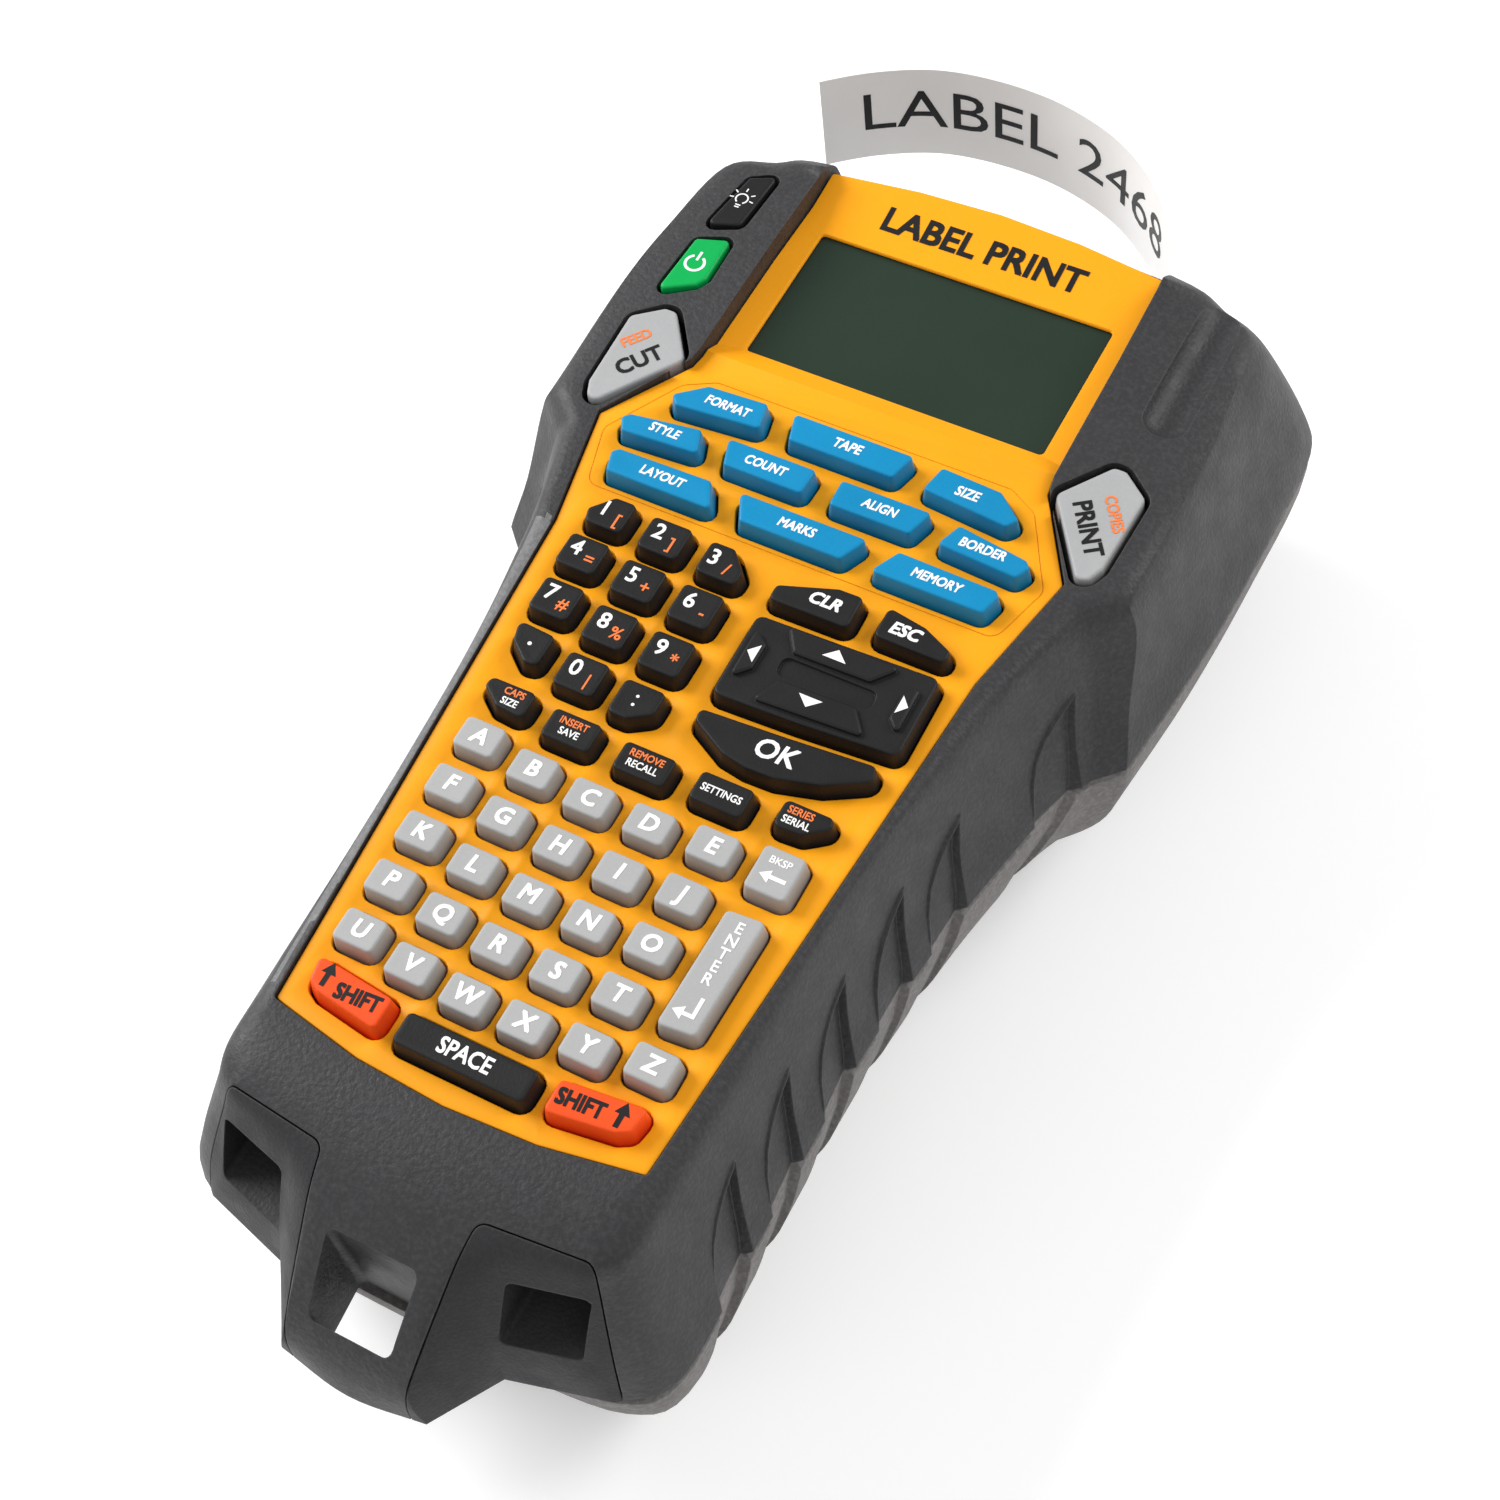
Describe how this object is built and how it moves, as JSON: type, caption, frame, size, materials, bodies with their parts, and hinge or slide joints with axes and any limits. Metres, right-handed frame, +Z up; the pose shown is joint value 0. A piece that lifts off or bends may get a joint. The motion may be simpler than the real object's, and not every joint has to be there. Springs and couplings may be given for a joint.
{
  "type": "handheld label maker",
  "caption": "Handheld industrial label maker with a waisted body, yellow faceplate, recessed display, full keypad, lanyard loop, port recesses and a printed label curling from the head end.",
  "frame": {"origin": "centre of the bounding box on the resting surface", "axes": "+X to the right seen from the keypad, +Y from the lanyard loop to the display and tape exit, +Z up out of the keypad"},
  "size_m": [0.1396, 0.289, 0.0729],
  "materials": {
    "mat_front_housing": "fine textured",
    "mat_back_housing": "fine textured",
    "mat_faceplate": "satin",
    "mat_lcd_window": "gloss",
    "mat_lcd_module": "satin",
    "mat_letter_keymat": "matte",
    "mat_keypad_board": "solder mask",
    "mat_main_board": "solder mask",
    "mat_port_bezel_left": "fine textured",
    "mat_port_bezel_right": "fine textured",
    "mat_tape_cassette": "satin",
    "mat_battery_pack": "satin",
    "mat_drive_motor": "satin",
    "mat_print_head": "satin",
    "mat_cassette_door": "fine textured",
    "mat_battery_door": "fine textured",
    "mat_platen_roller": "matte",
    "mat_motor_pinion": "satin",
    "mat_cutter_blade": "ground",
    "mat_label_tape": "satin polyester",
    "mat_key_menu_a": "matte",
    "mat_key_menu_b": "matte",
    "mat_key_menu_c": "matte",
    "mat_key_menu_d": "matte",
    "mat_key_menu_e": "matte",
    "mat_key_menu_f": "matte",
    "mat_key_menu_g": "matte",
    "mat_key_menu_h": "matte",
    "mat_key_menu_i": "matte",
    "mat_key_menu_j": "matte",
    "mat_key_1": "matte",
    "mat_key_2": "matte",
    "mat_key_3": "matte",
    "mat_key_4": "matte",
    "mat_key_5": "matte",
    "mat_key_6": "matte",
    "mat_key_7": "matte",
    "mat_key_8": "matte",
    "mat_key_9": "matte",
    "mat_key_point": "matte",
    "mat_key_0": "matte",
    "mat_key_colon": "matte",
    "mat_key_clear": "matte",
    "mat_key_escape": "matte",
    "mat_key_ok": "matte",
    "mat_key_soft_a": "matte",
    "mat_key_soft_b": "matte",
    "mat_key_soft_c": "matte",
    "mat_key_soft_d": "matte",
    "mat_key_soft_e": "matte",
    "mat_key_backspace": "matte",
    "mat_key_enter": "matte",
    "mat_key_shift_left": "matte",
    "mat_key_space": "matte",
    "mat_key_shift_right": "matte",
    "mat_nav_pad": "matte",
    "mat_key_print": "matte",
    "mat_key_cut": "matte",
    "mat_key_light": "matte",
    "mat_key_power": "matte"
  },
  "bodies": {
    "body": {"front_housing": "mat_front_housing", "back_housing": "mat_back_housing", "faceplate": "mat_faceplate", "lcd_window": "mat_lcd_window", "lcd_module": "mat_lcd_module", "letter_keymat": "mat_letter_keymat", "keypad_board": "mat_keypad_board", "main_board": "mat_main_board", "port_bezel_left": "mat_port_bezel_left", "port_bezel_right": "mat_port_bezel_right", "tape_cassette": "mat_tape_cassette", "battery_pack": "mat_battery_pack", "drive_motor": "mat_drive_motor", "print_head": "mat_print_head"},
    "key_menu_a": {"key_menu_a": "mat_key_menu_a"},
    "key_menu_b": {"key_menu_b": "mat_key_menu_b"},
    "key_menu_c": {"key_menu_c": "mat_key_menu_c"},
    "key_menu_d": {"key_menu_d": "mat_key_menu_d"},
    "key_menu_e": {"key_menu_e": "mat_key_menu_e"},
    "key_menu_f": {"key_menu_f": "mat_key_menu_f"},
    "key_menu_g": {"key_menu_g": "mat_key_menu_g"},
    "key_menu_h": {"key_menu_h": "mat_key_menu_h"},
    "key_menu_i": {"key_menu_i": "mat_key_menu_i"},
    "key_menu_j": {"key_menu_j": "mat_key_menu_j"},
    "key_1": {"key_1": "mat_key_1"},
    "key_2": {"key_2": "mat_key_2"},
    "key_3": {"key_3": "mat_key_3"},
    "key_4": {"key_4": "mat_key_4"},
    "key_5": {"key_5": "mat_key_5"},
    "key_6": {"key_6": "mat_key_6"},
    "key_7": {"key_7": "mat_key_7"},
    "key_8": {"key_8": "mat_key_8"},
    "key_9": {"key_9": "mat_key_9"},
    "key_point": {"key_point": "mat_key_point"},
    "key_0": {"key_0": "mat_key_0"},
    "key_colon": {"key_colon": "mat_key_colon"},
    "key_clear": {"key_clear": "mat_key_clear"},
    "key_escape": {"key_escape": "mat_key_escape"},
    "key_ok": {"key_ok": "mat_key_ok"},
    "key_soft_a": {"key_soft_a": "mat_key_soft_a"},
    "key_soft_b": {"key_soft_b": "mat_key_soft_b"},
    "key_soft_c": {"key_soft_c": "mat_key_soft_c"},
    "key_soft_d": {"key_soft_d": "mat_key_soft_d"},
    "key_soft_e": {"key_soft_e": "mat_key_soft_e"},
    "key_backspace": {"key_backspace": "mat_key_backspace"},
    "key_enter": {"key_enter": "mat_key_enter"},
    "key_shift_left": {"key_shift_left": "mat_key_shift_left"},
    "key_space": {"key_space": "mat_key_space"},
    "key_shift_right": {"key_shift_right": "mat_key_shift_right"},
    "nav_pad": {"nav_pad": "mat_nav_pad"},
    "key_print": {"key_print": "mat_key_print"},
    "key_cut": {"key_cut": "mat_key_cut"},
    "key_light": {"key_light": "mat_key_light"},
    "key_power": {"key_power": "mat_key_power"},
    "cassette_door": {"cassette_door": "mat_cassette_door"},
    "battery_door": {"battery_door": "mat_battery_door"},
    "platen_roller": {"platen_roller": "mat_platen_roller"},
    "motor_pinion": {"motor_pinion": "mat_motor_pinion"},
    "cutter_blade": {"cutter_blade": "mat_cutter_blade"},
    "label_tape": {"label_tape": "mat_label_tape"}
  },
  "joints": [
    {"name": "key_menu_a_press", "type": "slide", "parent": "body", "child": "key_menu_a", "axis": [0, 0, -1], "range_m": [0, 0.00109], "stiffness_N_per_m": 900},
    {"name": "key_menu_b_press", "type": "slide", "parent": "body", "child": "key_menu_b", "axis": [0, 0, -1], "range_m": [0, 0.00109], "stiffness_N_per_m": 900},
    {"name": "key_menu_c_press", "type": "slide", "parent": "body", "child": "key_menu_c", "axis": [0, 0, -1], "range_m": [0, 0.00109], "stiffness_N_per_m": 900},
    {"name": "key_menu_d_press", "type": "slide", "parent": "body", "child": "key_menu_d", "axis": [0, 0, -1], "range_m": [0, 0.00109], "stiffness_N_per_m": 900},
    {"name": "key_menu_e_press", "type": "slide", "parent": "body", "child": "key_menu_e", "axis": [0, 0, -1], "range_m": [0, 0.00109], "stiffness_N_per_m": 900},
    {"name": "key_menu_f_press", "type": "slide", "parent": "body", "child": "key_menu_f", "axis": [0, 0, -1], "range_m": [0, 0.00109], "stiffness_N_per_m": 900},
    {"name": "key_menu_g_press", "type": "slide", "parent": "body", "child": "key_menu_g", "axis": [0, 0, -1], "range_m": [0, 0.00109], "stiffness_N_per_m": 900},
    {"name": "key_menu_h_press", "type": "slide", "parent": "body", "child": "key_menu_h", "axis": [0, 0, -1], "range_m": [0, 0.00109], "stiffness_N_per_m": 900},
    {"name": "key_menu_i_press", "type": "slide", "parent": "body", "child": "key_menu_i", "axis": [0, 0, -1], "range_m": [0, 0.00109], "stiffness_N_per_m": 900},
    {"name": "key_menu_j_press", "type": "slide", "parent": "body", "child": "key_menu_j", "axis": [0, 0, -1], "range_m": [0, 0.00109], "stiffness_N_per_m": 900},
    {"name": "key_1_press", "type": "slide", "parent": "body", "child": "key_1", "axis": [0, 0, -1], "range_m": [0, 0.00109], "stiffness_N_per_m": 900},
    {"name": "key_2_press", "type": "slide", "parent": "body", "child": "key_2", "axis": [0, 0, -1], "range_m": [0, 0.00109], "stiffness_N_per_m": 900},
    {"name": "key_3_press", "type": "slide", "parent": "body", "child": "key_3", "axis": [0, 0, -1], "range_m": [0, 0.00109], "stiffness_N_per_m": 900},
    {"name": "key_4_press", "type": "slide", "parent": "body", "child": "key_4", "axis": [0, 0, -1], "range_m": [0, 0.00109], "stiffness_N_per_m": 900},
    {"name": "key_5_press", "type": "slide", "parent": "body", "child": "key_5", "axis": [0, 0, -1], "range_m": [0, 0.00109], "stiffness_N_per_m": 900},
    {"name": "key_6_press", "type": "slide", "parent": "body", "child": "key_6", "axis": [0, 0, -1], "range_m": [0, 0.00109], "stiffness_N_per_m": 900},
    {"name": "key_7_press", "type": "slide", "parent": "body", "child": "key_7", "axis": [0, 0, -1], "range_m": [0, 0.00109], "stiffness_N_per_m": 900},
    {"name": "key_8_press", "type": "slide", "parent": "body", "child": "key_8", "axis": [0, 0, -1], "range_m": [0, 0.00109], "stiffness_N_per_m": 900},
    {"name": "key_9_press", "type": "slide", "parent": "body", "child": "key_9", "axis": [0, 0, -1], "range_m": [0, 0.00109], "stiffness_N_per_m": 900},
    {"name": "key_point_press", "type": "slide", "parent": "body", "child": "key_point", "axis": [0, 0, -1], "range_m": [0, 0.00109], "stiffness_N_per_m": 900},
    {"name": "key_0_press", "type": "slide", "parent": "body", "child": "key_0", "axis": [0, 0, -1], "range_m": [0, 0.00109], "stiffness_N_per_m": 900},
    {"name": "key_colon_press", "type": "slide", "parent": "body", "child": "key_colon", "axis": [0, 0, -1], "range_m": [0, 0.00109], "stiffness_N_per_m": 900},
    {"name": "key_clear_press", "type": "slide", "parent": "body", "child": "key_clear", "axis": [0, 0, -1], "range_m": [0, 0.00109], "stiffness_N_per_m": 900},
    {"name": "key_escape_press", "type": "slide", "parent": "body", "child": "key_escape", "axis": [0, 0, -1], "range_m": [0, 0.00109], "stiffness_N_per_m": 900},
    {"name": "key_ok_press", "type": "slide", "parent": "body", "child": "key_ok", "axis": [0, 0, -1], "range_m": [0, 0.00109], "stiffness_N_per_m": 900},
    {"name": "key_soft_a_press", "type": "slide", "parent": "body", "child": "key_soft_a", "axis": [0, 0, -1], "range_m": [0, 0.00109], "stiffness_N_per_m": 900},
    {"name": "key_soft_b_press", "type": "slide", "parent": "body", "child": "key_soft_b", "axis": [0, 0, -1], "range_m": [0, 0.00109], "stiffness_N_per_m": 900},
    {"name": "key_soft_c_press", "type": "slide", "parent": "body", "child": "key_soft_c", "axis": [0, 0, -1], "range_m": [0, 0.00109], "stiffness_N_per_m": 900},
    {"name": "key_soft_d_press", "type": "slide", "parent": "body", "child": "key_soft_d", "axis": [0, 0, -1], "range_m": [0, 0.00109], "stiffness_N_per_m": 900},
    {"name": "key_soft_e_press", "type": "slide", "parent": "body", "child": "key_soft_e", "axis": [0, 0, -1], "range_m": [0, 0.00109], "stiffness_N_per_m": 900},
    {"name": "key_backspace_press", "type": "slide", "parent": "body", "child": "key_backspace", "axis": [0, 0, -1], "range_m": [0, 0.00109], "stiffness_N_per_m": 900},
    {"name": "key_enter_press", "type": "slide", "parent": "body", "child": "key_enter", "axis": [0, 0, -1], "range_m": [0, 0.00109], "stiffness_N_per_m": 900},
    {"name": "key_shift_left_press", "type": "slide", "parent": "body", "child": "key_shift_left", "axis": [0, 0, -1], "range_m": [0, 0.00109], "stiffness_N_per_m": 900},
    {"name": "key_space_press", "type": "slide", "parent": "body", "child": "key_space", "axis": [0, 0, -1], "range_m": [0, 0.00109], "stiffness_N_per_m": 900},
    {"name": "key_shift_right_press", "type": "slide", "parent": "body", "child": "key_shift_right", "axis": [0, 0, -1], "range_m": [0, 0.00109], "stiffness_N_per_m": 900},
    {"name": "nav_pad_press", "type": "slide", "parent": "body", "child": "nav_pad", "axis": [0, 0, -1], "range_m": [0, 0.00109], "stiffness_N_per_m": 900},
    {"name": "key_print_press", "type": "slide", "parent": "body", "child": "key_print", "axis": [0, 0, -1], "range_m": [0, 0.00109], "stiffness_N_per_m": 900},
    {"name": "key_cut_press", "type": "slide", "parent": "body", "child": "key_cut", "axis": [0, 0, -1], "range_m": [0, 0.00109], "stiffness_N_per_m": 900},
    {"name": "key_light_press", "type": "slide", "parent": "body", "child": "key_light", "axis": [0, 0, -1], "range_m": [0, 0.00109], "stiffness_N_per_m": 900},
    {"name": "key_power_press", "type": "slide", "parent": "body", "child": "key_power", "axis": [0, 0, -1], "range_m": [0, 0.00109], "stiffness_N_per_m": 900},
    {"name": "cassette_door_hinge", "type": "hinge", "parent": "body", "child": "cassette_door", "pos_m": [0, 0.02133, 0.00095], "axis": [-1, 0, 0], "range_deg": [0, 95]},
    {"name": "battery_door_hinge", "type": "hinge", "parent": "body", "child": "battery_door", "pos_m": [0, -0.01781, 0.00095], "axis": [1, 0, 0], "range_deg": [0, 95]},
    {"name": "platen_spin", "type": "hinge", "parent": "body", "child": "platen_roller", "pos_m": [0.03852, 0.08393, 0.0456], "axis": [0, 0, -1], "range_deg": [0, 90]},
    {"name": "pinion_spin", "type": "hinge", "parent": "body", "child": "motor_pinion", "pos_m": [0.04399, 0.07377, 0.03135], "axis": [0, 0, -1], "range_deg": [-185, 5]},
    {"name": "cutter_slide", "type": "slide", "parent": "body", "child": "cutter_blade", "axis": [-1, 0, 0], "range_m": [0, 0.00361]},
    {"name": "tape_feed", "type": "slide", "parent": "body", "child": "label_tape", "axis": [0, 1, 0], "range_m": [0, 0.0052]}
  ],
  "couplings": [
    {"joint": "platen_spin", "follows": "tape_feed", "rad_per_m": 300.75},
    {"joint": "pinion_spin", "follows": "tape_feed", "rad_per_m": -601.5}
  ]
}
